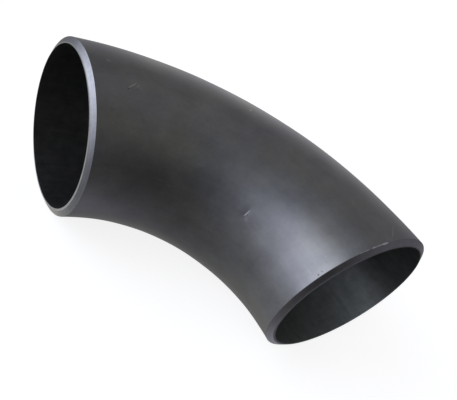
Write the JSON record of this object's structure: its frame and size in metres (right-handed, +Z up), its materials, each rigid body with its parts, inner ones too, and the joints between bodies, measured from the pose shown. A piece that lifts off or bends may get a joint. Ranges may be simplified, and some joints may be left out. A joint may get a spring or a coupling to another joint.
{
  "type": "pipe elbow",
  "caption": "Long-radius right-angle butt-weld pipe elbow: a bent steel tube that turns a pipeline, with both ends bevelled for welding.",
  "frame": {"origin": "under the middle of the bounding box, on the surface the elbow lies on: the elbow lies on its side with the plane of the bend level, 57.15 mm up", "axes": "+Z up, square to the plane of the bend; end A opens towards -X and end B towards -Y, and the two ends' axes cross at (0.04766, 0.04766, 0.05715)"},
  "size_m": [0.2094, 0.2094, 0.1143],
  "materials": {
    "dark_steel": "thin black lacquer over mill scale, half-matt and slightly mottled; bare bright machined steel on the bevels and root faces"
  },
  "bodies": {
    "root": {"elbow_body": "dark_steel"}
  },
  "joints": []
}
